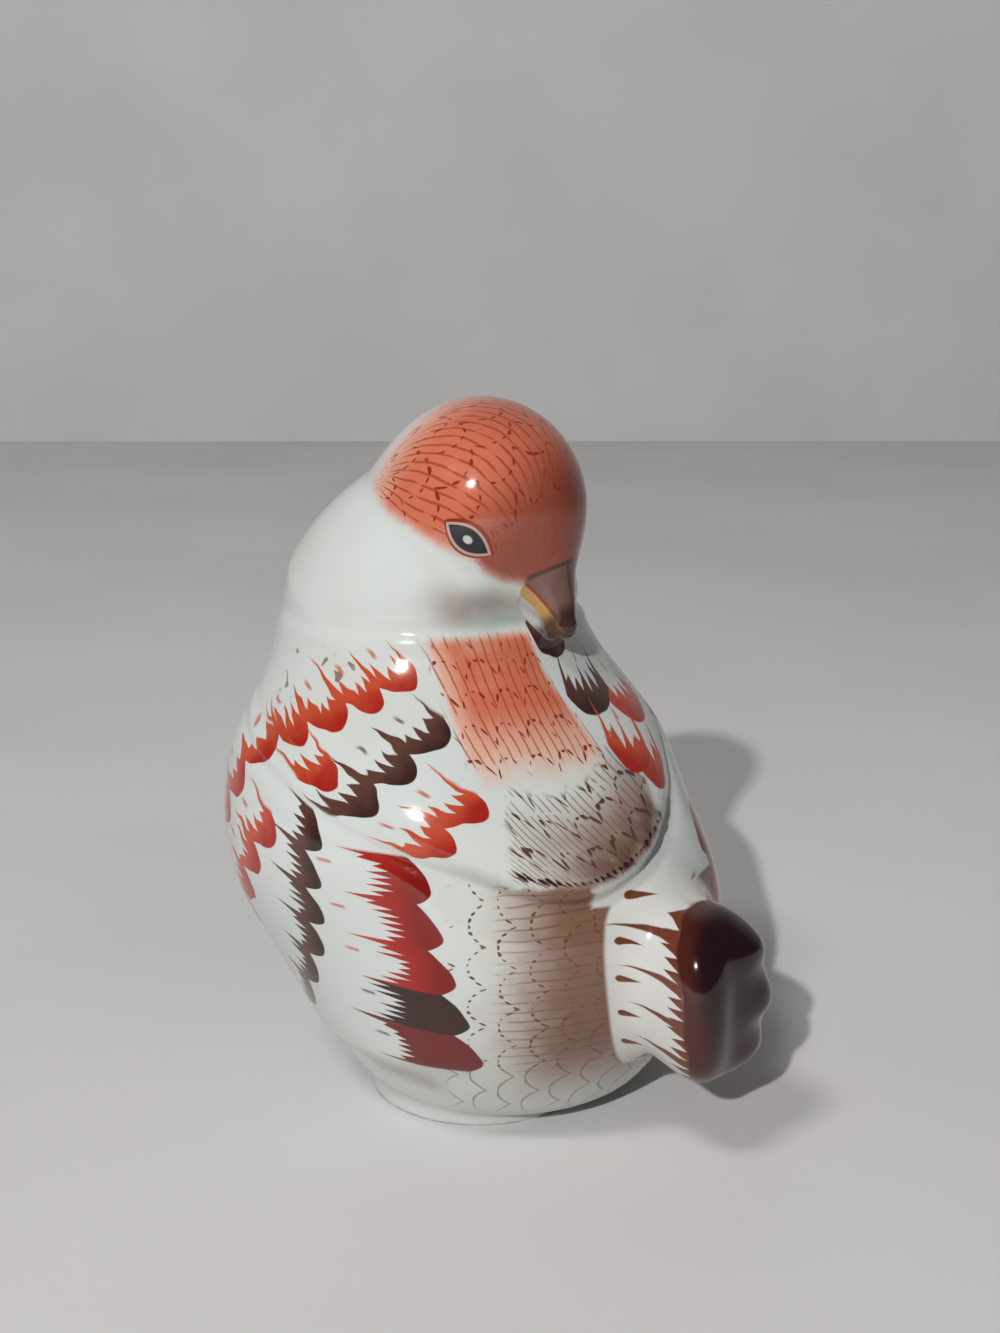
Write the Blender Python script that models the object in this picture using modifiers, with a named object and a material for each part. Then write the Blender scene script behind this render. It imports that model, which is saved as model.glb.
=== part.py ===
"""A glazed porcelain bird, slip-cast in one piece, with its head turned back over its right shoulder."""
import math

import bpy
import numpy as np

MM = 0.001

BREAST_AT = (3.0 * MM, -9.0 * MM, 36.0 * MM)
BREAST_RADII = (30.5 * MM, 30.0 * MM, 26.0 * MM)
BELLY_AT = (0.0, 0.0, 19.0 * MM)
BELLY_RADII = (26.0 * MM, 26.0 * MM, 24.5 * MM)
RUMP_AT = (-2.0 * MM, 8.3 * MM, 26.5 * MM)
RUMP_RADII = (20.5 * MM, 20.3 * MM, 17.0 * MM)
PAD_AT = (4.0 * MM, 0.0, 0.0)
PAD_RADIUS = 15.0 * MM
NECK_LOW = (5.0 * MM, -14.0 * MM, 46.0 * MM)
NECK_MID = (4.5 * MM, -11.5 * MM, 64.0 * MM)
NECK_TOP = (2.4 * MM, -5.0 * MM, 77.0 * MM)
NECK_RADII = (24.5 * MM, 18.3 * MM, 12.4 * MM)
HEAD_AT = (1.5 * MM, -3.2 * MM, 78.8 * MM)
HEAD_RADII = (13.0 * MM, 13.9 * MM, 13.8 * MM)
HEAD_TURN = 0.33
HEAD_DIP = 0.45
BEAK_ROOT = (-0.3 * MM, 7.2 * MM, -1.0 * MM)
BEAK_TIP = (-0.2 * MM, 18.2 * MM, -7.2 * MM)
JAW_LOW = 6.1 * MM
JAW_SLOPE = 0.78
BEAK_RADII = (7.6 * MM, 2.0 * MM)
TAIL_AT = (-8.6 * MM, 27.6 * MM, 22.6 * MM)
TAIL_RADII = (7.8 * MM, 10.5 * MM)
TAIL_HALF = 10.8 * MM
TAIL_LOBE = 6.8 * MM
TAIL_TURN = 0.33
TAIL_DROOP = 0.2
TAIL_LEAN = 0.2
TAIL_ROUND = 0.011 / MM
CHIN_AT = (4.5 * MM, 11.0 * MM, 66.8 * MM)
CHIN_RADII = (8.5 * MM, 4.2 * MM, 3.2 * MM)
LIP_LOW = 35.0 * MM
LIP_CLIMB = 10.5 * MM
LIP_MIDDLE = 0.14
LIP_RIGHT_CLIMB = 14.0 * MM
BELLY_CLEAR = 1.2 * MM
LIP_RISE = 1.9 * MM
NECK_CREASE = 64.0 * MM
NECK_RISE = 0.4 * MM
WING_RISE = 1.1 * MM
WING_LOW = 11.5 * MM
WING_SAG = 1.5 * MM
WING_EDGE = 1.6 * MM
LIP_EDGE = 1.5 * MM
LIP_GROOVE = 0.4 * MM
LIP_GROOVE_HALF = 1.1 * MM
CREASE_DEPTH = 0.25 * MM
CREASE_HALF = 1.2 * MM
TAIL_FLUTE = 0.45 * MM
TAIL_HOLLOW = 0.5 * MM
TAIL_EDGE = 5.0 * MM
MOUTH_DEPTH = 0.3 * MM
MOUTH_HALF = 0.5 * MM
TRUNK_BLEND = 8.0 * MM
NECK_BLEND = 7.0 * MM
HEAD_BLEND = 3.2 * MM
BEAK_BLEND = 2.2 * MM
CHIN_BLEND = 2.5 * MM
TAIL_BLEND = 3.5 * MM
BELLY_BLEND = 3.0 * MM
PAD_BLEND = 1.2 * MM
PAD_HALF = 2.5 * MM
PAD_MIDDLE = 1.5 * MM
FOOT_BELOW = 0.4 * MM
FOOT_EDGE = 0.8 * MM
WALL = 3.0 * MM
FLOOR_WALL = 4.5 * MM
VENT_AT = (9.0 * MM, -4.0 * MM)
VENT_RADIUS = 1.8 * MM
GLAZE_SHADE = (0.86, 0.87, 0.85)
MESH_STEP = 1.15 * MM
CAVITY_STEP = 3.6 * MM
OUTER_FACES = 9600
CAVITY_FACES = 1500


def ellipsoid(p, at, radii):
    q = (p - np.array(at)) / np.array(radii)
    reach = np.linalg.norm(q, axis=-1)
    slope = np.linalg.norm(q / np.array(radii), axis=-1)
    return reach * (reach - 1) / np.maximum(slope, 1e-9)


def taper(p, a, b, ra, rb):
    a, b = np.array(a, float), np.array(b, float)
    axis = b - a
    t = np.clip((p - a) @ axis / (axis @ axis), 0, 1)
    return np.linalg.norm(p - a - t[..., None] * axis, axis=-1) - (ra + (rb - ra) * t)


def join(a, b, soft):
    h = np.maximum(soft - np.abs(a - b), 0) / soft
    return np.minimum(a, b) - h * h * soft / 4


def meet(a, b, soft):
    return -join(-a, -b, soft)


def ramp(x, lo, hi):
    t = np.clip((x - lo) / (hi - lo), 0, 1)
    return t * t * (3 - 2 * t)


def bump(x, half):
    return np.exp(-((x / half) ** 2))


def turned(p, at, turn, dip):
    """Points seen from at, with +y turned from +Y towards -X and then dipped."""
    q = p - np.array(at)
    x = q[..., 0] * np.cos(turn) + q[..., 1] * np.sin(turn)
    y = -q[..., 0] * np.sin(turn) + q[..., 1] * np.cos(turn)
    z = q[..., 2] * np.cos(dip) + y * np.sin(dip)
    y = y * np.cos(dip) - q[..., 2] * np.sin(dip)
    return np.stack([x, y, z], -1)


def bearing(p):
    """The angle around the upright axis: 0 at the tail side, positive towards the bird's left."""
    return np.arctan2(p[..., 0] - 1.0 * MM, p[..., 1] + 3.0 * MM)


def trunk(p):
    d = join(ellipsoid(p, BREAST_AT, BREAST_RADII), ellipsoid(p, BELLY_AT, BELLY_RADII), TRUNK_BLEND)
    return join(d, ellipsoid(p, RUMP_AT, RUMP_RADII), TRUNK_BLEND)


def neck(p):
    lower = taper(p, NECK_LOW, NECK_MID, NECK_RADII[0], NECK_RADII[1])
    upper = taper(p, NECK_MID, NECK_TOP, NECK_RADII[1], NECK_RADII[2])
    return join(lower, upper, TRUNK_BLEND)


def beak(q):
    upper = taper(q, BEAK_ROOT, BEAK_TIP, BEAK_RADII[0], BEAK_RADII[1])
    jaw = q[..., 2] + JAW_SLOPE * q[..., 1] - JAW_LOW
    mouth = bump(jaw - 0.9 * MM, MOUTH_HALF) * ramp(q[..., 1], 9 * MM, 12 * MM)
    return meet(upper + MOUTH_DEPTH * mouth, -jaw / math.hypot(1, JAW_SLOPE), BEAK_BLEND / 2)


def head(p):
    q = turned(p, HEAD_AT, HEAD_TURN, HEAD_DIP)
    return join(ellipsoid(q, (0, 0, 0), HEAD_RADII), beak(q), BEAK_BLEND)


def tail(p):
    q = turned(p, TAIL_AT, TAIL_TURN, TAIL_DROOP)
    x, y, z = q[..., 0], q[..., 1], q[..., 2]
    late = ramp(y, 0, TAIL_HALF)
    flute = np.cos(2 * np.pi * z / TAIL_LOBE)
    flare = 1 + 0.06 * late + 0.008 * late * flute
    section = (np.abs(x / TAIL_RADII[0]) ** 2.4 + np.abs(z / TAIL_RADII[1]) ** 2.4) ** (1 / 2.4)
    side = (section - flare) * TAIL_RADII[0]
    far = ramp(-x, -2 * MM, 5 * MM)
    hollow = TAIL_HOLLOW * bump(x - 1.5 * MM, 2.6 * MM)
    end = TAIL_HALF - TAIL_LEAN * z - TAIL_ROUND * z * z + TAIL_FLUTE * flute * far - hollow
    return meet(side, np.abs(y) - end, TAIL_EDGE)


def lip_height(p):
    turn = bearing(p) - LIP_MIDDLE
    climb = np.where(turn > 0, LIP_CLIMB, LIP_RIGHT_CLIMB)
    return LIP_LOW + climb * (np.sqrt(turn * turn + 0.044) - 0.21)


def shield(p):
    """How far the feathered cape of the back stands out, with its rolled lip and the crease at the neck."""
    above = p[..., 2] - lip_height(p)
    side = ramp(-np.abs(bearing(p)), -2.6, -1.5)
    below_neck = ramp(NECK_CREASE - p[..., 2], -1.0 * MM, 1.0 * MM)
    plate = ramp(above, -LIP_EDGE, LIP_EDGE) * below_neck
    rise = NECK_RISE + (LIP_RISE - NECK_RISE) * bump(above - 2 * MM, 8 * MM) * bump(bearing(p), 1.4)
    groove = LIP_GROOVE * bump(above + 1.7 * MM, LIP_GROOVE_HALF)
    crease = CREASE_DEPTH * bump(p[..., 2] - NECK_CREASE - 0.8 * MM, CREASE_HALF)
    return side * (rise * plate - groove - crease)


def wings(p):
    """How far the folded wings stand out below the cape."""
    turn = np.abs(bearing(p) - 0.05)
    rear = ramp(turn, 0.42, 0.80)
    front = ramp(-turn, -2.3, -1.7)
    edge = WING_LOW - WING_SAG * bump(turn - 1.3, 0.5)
    low = ramp(p[..., 2] - edge, -WING_EDGE, WING_EDGE)
    top = ramp(lip_height(p) - p[..., 2], -1 * MM, 1 * MM)
    return WING_RISE * rear * front * low * top


def form(p):
    d = join(trunk(p), neck(p), NECK_BLEND)
    d = d - shield(p) - wings(p)
    d = meet(d, -ellipsoid(p, CHIN_AT, CHIN_RADII), CHIN_BLEND)
    d = join(d, head(p), HEAD_BLEND)
    d = join(d, tail(p), TAIL_BLEND)
    d = meet(d, BELLY_CLEAR - p[..., 2], BELLY_BLEND)
    pad = np.linalg.norm(p[..., :2] - np.array(PAD_AT[:2]), axis=-1) - PAD_RADIUS
    pad = meet(pad, np.abs(p[..., 2] - PAD_MIDDLE) - PAD_HALF, PAD_BLEND)
    d = join(d, pad, PAD_BLEND)
    return meet(d, -FOOT_BELOW - p[..., 2], FOOT_EDGE)


def cavity_form(p):
    """The casting's inside: the plain trunk, neck and head, a wall's thickness in."""
    skull = ellipsoid(turned(p, HEAD_AT, HEAD_TURN, HEAD_DIP), (0, 0, 0), HEAD_RADII)
    d = join(join(trunk(p), neck(p), NECK_BLEND), skull, HEAD_BLEND)
    return meet(d + WALL, FLOOR_WALL - p[..., 2], BELLY_BLEND)


def clear_scene():
    for item in list(bpy.data.objects):
        bpy.data.objects.remove(item, do_unlink=True)


def glaze_material(name, shade):
    material = bpy.data.materials.new(name)
    material.use_nodes = True
    shader = material.node_tree.nodes["Principled BSDF"]
    shader.inputs["Base Color"].default_value = (*shade, 1.0)
    shader.inputs["Roughness"].default_value = 0.12
    return material


def ball(at, radii):
    bpy.ops.mesh.primitive_ico_sphere_add(subdivisions=4, radius=1.0, location=at)
    bpy.context.object.scale = radii
    return bpy.context.object


def chain(a, b, ra, rb, count):
    """Balls in a row, growing or shrinking from one end to the other."""
    made = []
    for i in range(count):
        t = i / (count - 1)
        at = [a[k] + (b[k] - a[k]) * t for k in range(3)]
        made.append(ball(at, (ra + (rb - ra) * t,) * 3))
    return made


def out_of(q, at, turn, dip):
    """A point given in a turned and dipped frame, back in the bird's own."""
    y = q[1] * math.cos(dip) + q[2] * math.sin(dip)
    z = q[2] * math.cos(dip) - q[1] * math.sin(dip)
    return (
        at[0] + q[0] * math.cos(turn) - y * math.sin(turn),
        at[1] + q[0] * math.sin(turn) + y * math.cos(turn),
        at[2] + z,
    )


def trunk_lumps(shrink):
    lumps = []
    for at, radii in ((BREAST_AT, BREAST_RADII), (BELLY_AT, BELLY_RADII), (RUMP_AT, RUMP_RADII)):
        lumps.append(ball(at, [r - shrink for r in radii]))
    low, middle, top = [r - shrink for r in NECK_RADII]
    lumps += chain(NECK_LOW, NECK_MID, low, middle, 5)
    lumps += chain(NECK_MID, NECK_TOP, middle, top, 5)
    head_lump = ball(HEAD_AT, [r - shrink for r in HEAD_RADII])
    head_lump.rotation_euler = (-HEAD_DIP, 0.0, HEAD_TURN)
    return lumps + [head_lump]


def outer_lumps():
    root = out_of(BEAK_ROOT, HEAD_AT, HEAD_TURN, HEAD_DIP)
    tip = out_of(BEAK_TIP, HEAD_AT, HEAD_TURN, HEAD_DIP)
    lumps = trunk_lumps(0.0) + chain(root, tip, BEAK_RADII[0], 1.4 * BEAK_RADII[1], 12)
    start = out_of((0, -TAIL_HALF, 0), TAIL_AT, TAIL_TURN, TAIL_DROOP)
    stop = out_of((0, 0.55 * TAIL_HALF, 0), TAIL_AT, TAIL_TURN, TAIL_DROOP)
    for lump in chain(start, stop, TAIL_RADII[0], TAIL_RADII[0], 6):
        lump.scale[2] = TAIL_RADII[1]
        lumps.append(lump)
    pad_at = (PAD_AT[0], PAD_AT[1], 3 * MM)
    bpy.ops.mesh.primitive_cylinder_add(radius=PAD_RADIUS, depth=8 * MM, location=pad_at)
    return lumps + [bpy.context.object]


def fused(name, lumps, step):
    """One closed skin of even quads around overlapping lumps."""
    bpy.ops.object.select_all(action="DESELECT")
    for lump in lumps:
        lump.select_set(True)
    bpy.context.view_layer.objects.active = lumps[0]
    bpy.ops.object.join()
    skin = bpy.context.object
    bpy.ops.object.transform_apply(location=True, rotation=True, scale=True)
    skin.name = name
    remesh = skin.modifiers.new("Skin", "REMESH")
    remesh.mode = "VOXEL"
    remesh.voxel_size = step
    bpy.ops.object.modifier_apply(modifier=remesh.name)
    return skin


def slope_of(shape, p, reach):
    ahead = [shape(p + reach * axis) - shape(p - reach * axis) for axis in np.eye(3)]
    return np.stack(ahead, -1) / (2 * reach)


def drawn_onto(skin, shape, step, rounds):
    """Moves a skin's points onto the surface where the form is zero, evening them out on the way."""
    mesh = skin.data
    p = np.empty(len(mesh.vertices) * 3)
    mesh.vertices.foreach_get("co", p)
    p = p.reshape(-1, 3)
    ends = np.empty(len(mesh.edges) * 2, np.int64)
    mesh.edges.foreach_get("vertices", ends)
    a, b = ends.reshape(-1, 2).T
    count = np.bincount(a, minlength=len(p)) + np.bincount(b, minlength=len(p))
    for turn in range(rounds):
        if turn < rounds - 3:
            middle = np.stack(
                [np.bincount(a, p[b, k], len(p)) + np.bincount(b, p[a, k], len(p)) for k in range(3)], -1
            )
            p = p + 0.6 * (middle / count[:, None] - p)
        slope = slope_of(shape, p, 0.05 * MM)
        length = np.maximum(np.sum(slope * slope, -1), 0.2)
        move = -shape(p)[:, None] * slope / length[:, None]
        size = np.linalg.norm(move, axis=-1, keepdims=True)
        p = p + move * np.minimum(1, step / np.maximum(size, 1e-9))
    mesh.vertices.foreach_set("co", p.reshape(-1))
    mesh.update()


def thin_out(item, faces):
    item.data.calc_loop_triangles()
    fewer = item.modifiers.new("Fewer faces", "DECIMATE")
    fewer.ratio = min(1.0, faces / len(item.data.loop_triangles))


def cutter(item, cutters):
    for holder in list(item.users_collection):
        holder.objects.unlink(item)
    cutters.objects.link(item)
    item.hide_render = True
    item.display_type = "WIRE"
    return item


def cut(item, tool, label):
    modifier = item.modifiers.new(label, "BOOLEAN")
    modifier.operation = "DIFFERENCE"
    modifier.solver = "EXACT"
    modifier.object = tool


def floor_cutter():
    bpy.ops.mesh.primitive_cube_add(size=1.0, location=(0, 0, -10 * MM))
    slab = bpy.context.object
    slab.scale = (120 * MM, 120 * MM, 20 * MM)
    slab.name = "floor_cutter"
    return slab


def vent_cutter():
    bpy.ops.mesh.primitive_cylinder_add(
        vertices=24, radius=VENT_RADIUS, depth=20 * MM, location=(VENT_AT[0], VENT_AT[1], 0)
    )
    hole = bpy.context.object
    hole.name = "vent_cutter"
    return hole


def build():
    clear_scene()
    cutters = bpy.data.collections.new("cutters")
    bpy.context.scene.collection.children.link(cutters)
    bird = fused("bird_figurine", outer_lumps(), MESH_STEP)
    drawn_onto(bird, form, MESH_STEP, 14)
    thin_out(bird, OUTER_FACES)
    cavity = fused("cavity", trunk_lumps(WALL), CAVITY_STEP)
    drawn_onto(cavity, cavity_form, CAVITY_STEP, 12)
    thin_out(cavity, CAVITY_FACES)
    for item in (bird, cavity):
        bpy.context.view_layer.objects.active = item
        bpy.ops.object.modifier_apply(modifier="Fewer faces")
    cut(bird, cutter(floor_cutter(), cutters), "Flat base")
    cut(bird, cutter(cavity, cutters), "Inside of the casting")
    cut(bird, cutter(vent_cutter(), cutters), "Vent hole")
    bird.data.materials.clear()
    bird.data.materials.append(glaze_material("glazed_porcelain", GLAZE_SHADE))


build()
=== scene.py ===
"""The looks of a glazed porcelain bird: fine surface, painted plumage, a pale floor and soft light."""
import math

import bpy
import numpy as np
from mathutils import Matrix, Vector


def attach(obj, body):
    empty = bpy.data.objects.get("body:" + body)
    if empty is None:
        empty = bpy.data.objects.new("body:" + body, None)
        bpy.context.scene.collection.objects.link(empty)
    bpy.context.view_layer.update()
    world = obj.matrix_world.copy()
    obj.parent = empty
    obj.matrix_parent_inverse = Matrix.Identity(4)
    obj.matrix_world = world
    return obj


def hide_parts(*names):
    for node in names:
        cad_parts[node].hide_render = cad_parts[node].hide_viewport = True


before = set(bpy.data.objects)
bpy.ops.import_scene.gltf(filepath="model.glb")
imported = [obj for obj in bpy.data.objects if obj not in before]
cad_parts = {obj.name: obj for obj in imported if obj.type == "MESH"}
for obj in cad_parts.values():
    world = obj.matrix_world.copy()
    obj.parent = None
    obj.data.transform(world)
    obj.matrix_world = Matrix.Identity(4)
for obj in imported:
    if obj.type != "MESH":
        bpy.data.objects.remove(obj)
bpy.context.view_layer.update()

MM = 0.001

BREAST_AT = (3.0 * MM, -9.0 * MM, 36.0 * MM)
BREAST_RADII = (30.5 * MM, 30.0 * MM, 26.0 * MM)
BELLY_AT = (0.0, 0.0, 19.0 * MM)
BELLY_RADII = (26.0 * MM, 26.0 * MM, 24.5 * MM)
RUMP_AT = (-2.0 * MM, 8.3 * MM, 26.5 * MM)
RUMP_RADII = (20.5 * MM, 20.3 * MM, 17.0 * MM)
PAD_AT = (4.0 * MM, 0.0, 0.0)
PAD_RADIUS = 15.0 * MM
NECK_LOW = (5.0 * MM, -14.0 * MM, 46.0 * MM)
NECK_MID = (4.5 * MM, -11.5 * MM, 64.0 * MM)
NECK_TOP = (2.4 * MM, -5.0 * MM, 77.0 * MM)
NECK_RADII = (24.5 * MM, 18.3 * MM, 12.4 * MM)
HEAD_AT = (1.5 * MM, -3.2 * MM, 78.8 * MM)
HEAD_RADII = (13.0 * MM, 13.9 * MM, 13.8 * MM)
HEAD_TURN = 0.33
HEAD_DIP = 0.45
BEAK_ROOT = (-0.3 * MM, 7.2 * MM, -1.0 * MM)
BEAK_TIP = (-0.2 * MM, 18.2 * MM, -7.2 * MM)
JAW_LOW = 6.1 * MM
JAW_SLOPE = 0.78
BEAK_RADII = (7.6 * MM, 2.0 * MM)
TAIL_AT = (-8.6 * MM, 27.6 * MM, 22.6 * MM)
TAIL_RADII = (7.8 * MM, 10.5 * MM)
TAIL_HALF = 10.8 * MM
TAIL_LOBE = 6.8 * MM
TAIL_TURN = 0.33
TAIL_DROOP = 0.2
TAIL_LEAN = 0.2
TAIL_ROUND = 0.011 / MM
CHIN_AT = (4.5 * MM, 11.0 * MM, 66.8 * MM)
CHIN_RADII = (8.5 * MM, 4.2 * MM, 3.2 * MM)
LIP_LOW = 35.0 * MM
LIP_CLIMB = 10.5 * MM
LIP_MIDDLE = 0.14
LIP_RIGHT_CLIMB = 14.0 * MM
LIP_SOFT = 0.044
LIP_SOFT_LOW = 0.21
BELLY_CLEAR = 1.2 * MM
LIP_RISE = 1.9 * MM
NECK_CREASE = 64.0 * MM
NECK_RISE = 0.4 * MM
WING_RISE = 1.1 * MM
WING_LOW = 11.5 * MM
WING_SAG = 1.5 * MM
WING_EDGE = 1.6 * MM
LIP_EDGE = 1.5 * MM
LIP_GROOVE = 0.4 * MM
LIP_GROOVE_HALF = 1.1 * MM
CREASE_DEPTH = 0.25 * MM
CREASE_HALF = 1.2 * MM
TAIL_FLUTE = 0.45 * MM
TAIL_HOLLOW = 0.5 * MM
TAIL_EDGE = 5.0 * MM
MOUTH_DEPTH = 0.3 * MM
MOUTH_HALF = 0.5 * MM
TRUNK_BLEND = 8.0 * MM
NECK_BLEND = 7.0 * MM
HEAD_BLEND = 3.2 * MM
BEAK_BLEND = 2.2 * MM
CHIN_BLEND = 2.5 * MM
TAIL_BLEND = 3.5 * MM
BELLY_BLEND = 3.0 * MM
PAD_BLEND = 1.2 * MM
PAD_HALF = 2.5 * MM
PAD_MIDDLE = 1.5 * MM
FOOT_BELOW = 0.4 * MM
FOOT_EDGE = 0.8 * MM

WALL = 3.0 * MM
FLOOR_WALL = 4.5 * MM
VENT_AT = (9.0 * MM, -4.0 * MM)
VENT_RADIUS = 1.8 * MM
MESH_STEP = 0.6 * MM
CAVITY_STEP = 3.0 * MM

VIEW_TURN = math.radians(150)
VIEW_TILT = math.radians(27)
VIEW_DISTANCE = 240.0 * MM
VIEW_DROP = (1065 - 666.5) / 1666
VIEW_SHIFT = (505 - 500) / 1666
SENSOR_HEIGHT = 36.0
LENS = 45.0
CLIP_START = 0.01

ROW_BEND_AT = 10.0 * MM
ROW_BEND = 0.6
RUMP_MIDDLE = -0.3
RUMP_RADIUS = 28.0 * MM
WING_MIDDLE = 0.05
EYE_AT = (8.0 * MM, 0.9 * MM)
EYE_TILT = 0.27
EYE_LONG = 3.35 * MM
EYE_HIGH = 1.75 * MM
FLOOR_SHADE = (0.63, 0.615, 0.605)
BACKDROP_SHADE = (0.63, 0.62, 0.61)
BACKDROP_DISTANCE = 0.85
SHEET_SIZE = 6.0
SHEET_ROUGH = 0.9
SHEET_MOTTLE = 9.0
SHEET_DIM = 0.94
LIT = (0.0, 0.0, 0.04)
# Each lamp: its turn and height angle in degrees, its distance, size and power
KEY_LAMP = (132.6, 30.4, 1.2, 0.028, 11.5)
SHADE_LAMP = (108.0, 58.0, 2.2, 0.4, 15.0)
FILL_LAMP = (185.0, 50.0, 1.4, 1.2, 0.8)
WORLD_COLOUR = (0.9, 0.93, 1.0, 1.0)
WORLD_STRENGTH = 0.07

GLAZE_ROUGH = 0.1
GLAZE_COAT = 0.2
COAT_ROUGH = 0.05
RELIEF_STRENGTH = 0.3
RELIEF_DEPTH = 0.1 * MM
RELIEF_SCALE = 320.0

PORCELAIN = (0.53, 0.555, 0.53)
PORCELAIN_WARM = (0.5, 0.51, 0.48)
SALMON = (0.5, 0.13, 0.072)
SALMON_PALE = (0.6, 0.32, 0.22)
CAP_DEEP = (0.14, 0.028, 0.018)
HATCH_RED = (0.26, 0.045, 0.018)
DOT_RED = (0.21, 0.024, 0.011)
FEATHER_RED = (0.3, 0.014, 0.008)
FEATHER_ORANGE = (0.43, 0.062, 0.026)
LONG_RED = (0.17, 0.005, 0.003)
LOW_RED = (0.14, 0.016, 0.014)
FEATHER_BROWN = (0.088, 0.038, 0.026)
FEATHER_DARK = (0.034, 0.013, 0.01)
FEATHER_GREY = (0.16, 0.15, 0.125)
MAUVE = (0.21, 0.135, 0.105)
RUMP_TAN = (0.31, 0.2, 0.145)
RUMP_BROWN = (0.14, 0.06, 0.034)
RUMP_LINE = (0.14, 0.065, 0.038)
CAPE_LINE = (0.17, 0.09, 0.06)
RUMP_DOT = (0.14, 0.055, 0.02)
UNDER_WING_GREY = (0.3, 0.26, 0.22)
# painted shade under the head at the throat, partly grey-mauve paint
SHADE_GREY = (0.3, 0.25, 0.225)
# greyed white, painted shade for the beak's underside
SHADED_THROAT_GREY = (0.45, 0.45, 0.42)
# colour of a painted reflection on the throat's glaze
TEAL_REFLECTION = (0.26, 0.36, 0.34)
TAIL_WHITE = (0.54, 0.53, 0.5)
TAIL_STROKE = (0.13, 0.035, 0.016)
TAIL_MAROON = (0.055, 0.011, 0.007)
TAIL_BLACK = (0.014, 0.003, 0.004)
BEAK_MAUVE = (0.16, 0.085, 0.068)
BEAK_YELLOW = (0.42, 0.26, 0.08)
BEAK_DARK = (0.035, 0.013, 0.011)
EYE_BLACK = (0.006, 0.007, 0.008)
EYE_RING = (0.4, 0.28, 0.24)
EYE_DOT = (0.42, 0.44, 0.42)

# Brush lines: how far apart, how wide and how strong
MANTLE_HATCH = (1.22 * MM, 0.17 * MM, 0.75)
CAPE_HATCH = (1.05 * MM, 0.17 * MM, 0.8)
RUMP_HATCH = (1.3 * MM, 0.19 * MM, 0.8)
CAP_HATCH = (0.9 * MM, 0.16 * MM, 0.8)
# Scale edges: how wide and how tall each scale is
MANTLE_SCALES = (3.9 * MM, 3.6 * MM)
CAPE_SCALES = (4.2 * MM, 3.2 * MM)
RUMP_SCALES = (5.2 * MM, 3.6 * MM)
CAP_SCALES = (3.9 * MM, 3.6 * MM)
# Dots: how far apart, and their radius
MANTLE_DOTS = (0.85 * MM, 0.26 * MM)
CAPE_DOTS = (0.95 * MM, 0.42 * MM)
CAPE_BAND = (1.25 * MM, 0.42 * MM)
CAPE_BAND_AT = 1.9 * MM
RUMP_DOTS = (0.78 * MM, 0.25 * MM)
CAP_DOTS = (0.8 * MM, 0.26 * MM)
# Where each layer of paint begins and ends: heights, places ahead on the head, and turns round the bird
THROAT_FADE = (63.5 * MM, 65.5 * MM)
CHEEK_AHEAD = (8.0 * MM, 15.0 * MM, 3.0 * MM)
CHEEK_HIGH = (-9.5 * MM, -5.2 * MM, 1.8 * MM)
REFLECTION_AHEAD = (12.5 * MM, 15.0 * MM, 1.2 * MM)
REFLECTION_HIGH = (-9.5 * MM, -7.0 * MM, 1.0 * MM)
FLECK_TURN = (1.35, 1.85, 0.1)
FLECK_HIGH = (55.5 * MM, 61.5 * MM, 1.0 * MM)
FLECK_SCALE = 700.0
MANTLE_LEFT = 0.6
MANTLE_RIGHT_AT = 56.0 * MM
MANTLE_RIGHT_SLOPE = 0.0137 / MM
MANTLE_FOOT = (47.5 * MM, 53.0 * MM)
MANTLE_TOP = (64.4 * MM, 62.8 * MM)
MANTLE_RICH = (50.0 * MM, 56.0 * MM)
MANTLE_LINES_HIGH = (51.0 * MM, 65.2 * MM, 0.8 * MM)
MANTLE_DOTS_HIGH = (48.6 * MM, 64.5 * MM, 0.5 * MM)
CAPE_END_TURN = (-0.42, 0.42, 0.03)
CAPE_END_HIGH = (1.2 * MM, 10.8 * MM, 0.6 * MM)
CAPE_WASH_TURN = (0.55, 0.05)
CAPE_WASH_HIGH = (12.0 * MM, 5.0 * MM)
CAPE_LOW_TURN = (0.3, -0.1)
CAPE_LOW_HIGH = (6.5 * MM, 2.5 * MM)
CAPE_GAP = 6.5 * MM
RUMP_NEAR_TURN = (1.04, 0.6)
RUMP_WASH_HIGH = (4.0 * MM, 18.0 * MM)
RUMP_DARK_TURN = (0.86, 0.54)
RUMP_DARK_HIGH = (4.0 * MM, 17.0 * MM)
CAP_EDGE = (-1.3 * MM, 0.9 * MM)
CAP_ABOVE = (64.0 * MM, 66.0 * MM)
CAP_BACK = (-10.0 * MM, -5.0 * MM)
CAP_ARCH_RADIUS = 20.0 * MM
CAP_ARCH_NARROWING = 0.278
CAP_ARCH_HALF = 9.06 * MM
CAP_ARCH_FALL = 0.578
CAP_ARCH_FOOT = 14.0 * MM
CAP_ARCH_BEND = 0.101 / MM
EYE_AHEAD = (2.0 * MM, 3.0 * MM)
EYE_ABOVE = (68.0 * MM, 69.0 * MM)
BEAK_START = (15.0 * MM, 15.25 * MM)
BEAK_TIP_START = (19.3 * MM, 21.3 * MM)
# How fine the noises are that bend lines, cloud washes, thin strokes and warm the white
WOBBLE_SCALE = 260.0
CLOUD_SCALE = 150.0
PATCH_SCALE = 380.0
WARM_SCALE = 45.0
# Far too little to see: it only ties a place to the paint below
NUDGE = 1e-9
ROW_WOBBLE = 1.2 * MM
FALL_WOBBLE = 1.0 * MM
FAN_MIDDLE = -0.15
FAN_FOOT = 45.0 * MM
FAN_SPREAD = 0.05 / MM
# How the torn ends of brush strokes vary in length
HAIR_STEP = 0.37
HAIR_SCALE = 7.3
TAIL_SEED = 3.1
DARK_SEED = 2.9
LONG_SEED = 5.3
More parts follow.
